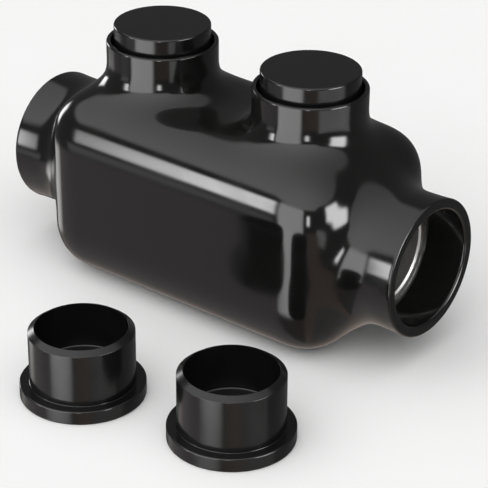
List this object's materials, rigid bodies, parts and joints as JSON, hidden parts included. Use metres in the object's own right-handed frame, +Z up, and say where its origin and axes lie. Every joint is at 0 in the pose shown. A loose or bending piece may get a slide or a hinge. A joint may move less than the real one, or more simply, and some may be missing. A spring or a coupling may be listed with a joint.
{
  "type": "insulated inline splice connector",
  "caption": "Insulated inline cable splice: a rounded dip-moulded boot over a bored metal block, with a cable neck at each end, capped screw towers and loose neck plugs.",
  "frame": {"origin": "middle of the boot's flat underside, below the midpoint of the cable axis", "axes": "+X along the cable axis towards the right-hand neck, -Y towards the loose plugs, +Z up the screw towers"},
  "size_m": [0.1165, 0.1002, 0.0635],
  "materials": {
    "boot_coat": "glossy black dipped coat",
    "block_metal": "machined, bright",
    "screw_metal": "turned, satin",
    "cap_vinyl": "satin black",
    "plug_vinyl": "satin black"
  },
  "bodies": {
    "root": {"boot": "boot_coat", "connector_block": "block_metal", "entry_plug_left": "plug_vinyl", "entry_plug_right": "plug_vinyl"},
    "left_screw": {"set_screw_left": "screw_metal"},
    "right_screw": {"set_screw_right": "screw_metal"},
    "left_cap": {"screw_cap_left": "cap_vinyl"},
    "right_cap": {"screw_cap_right": "cap_vinyl"}
  },
  "joints": [
    {"name": "left_screw_drive", "type": "slide", "parent": "root", "child": "left_screw", "axis": [0, 0, 1], "range_m": [-0.01, 0]},
    {"name": "left_cap_lift", "type": "slide", "parent": "root", "child": "left_cap", "axis": [0, 0, 1], "range_m": [0, 0.012]},
    {"name": "right_screw_drive", "type": "slide", "parent": "root", "child": "right_screw", "axis": [0, 0, 1], "range_m": [-0.01, 0]},
    {"name": "right_cap_lift", "type": "slide", "parent": "root", "child": "right_cap", "axis": [0, 0, 1], "range_m": [0, 0.012]}
  ]
}
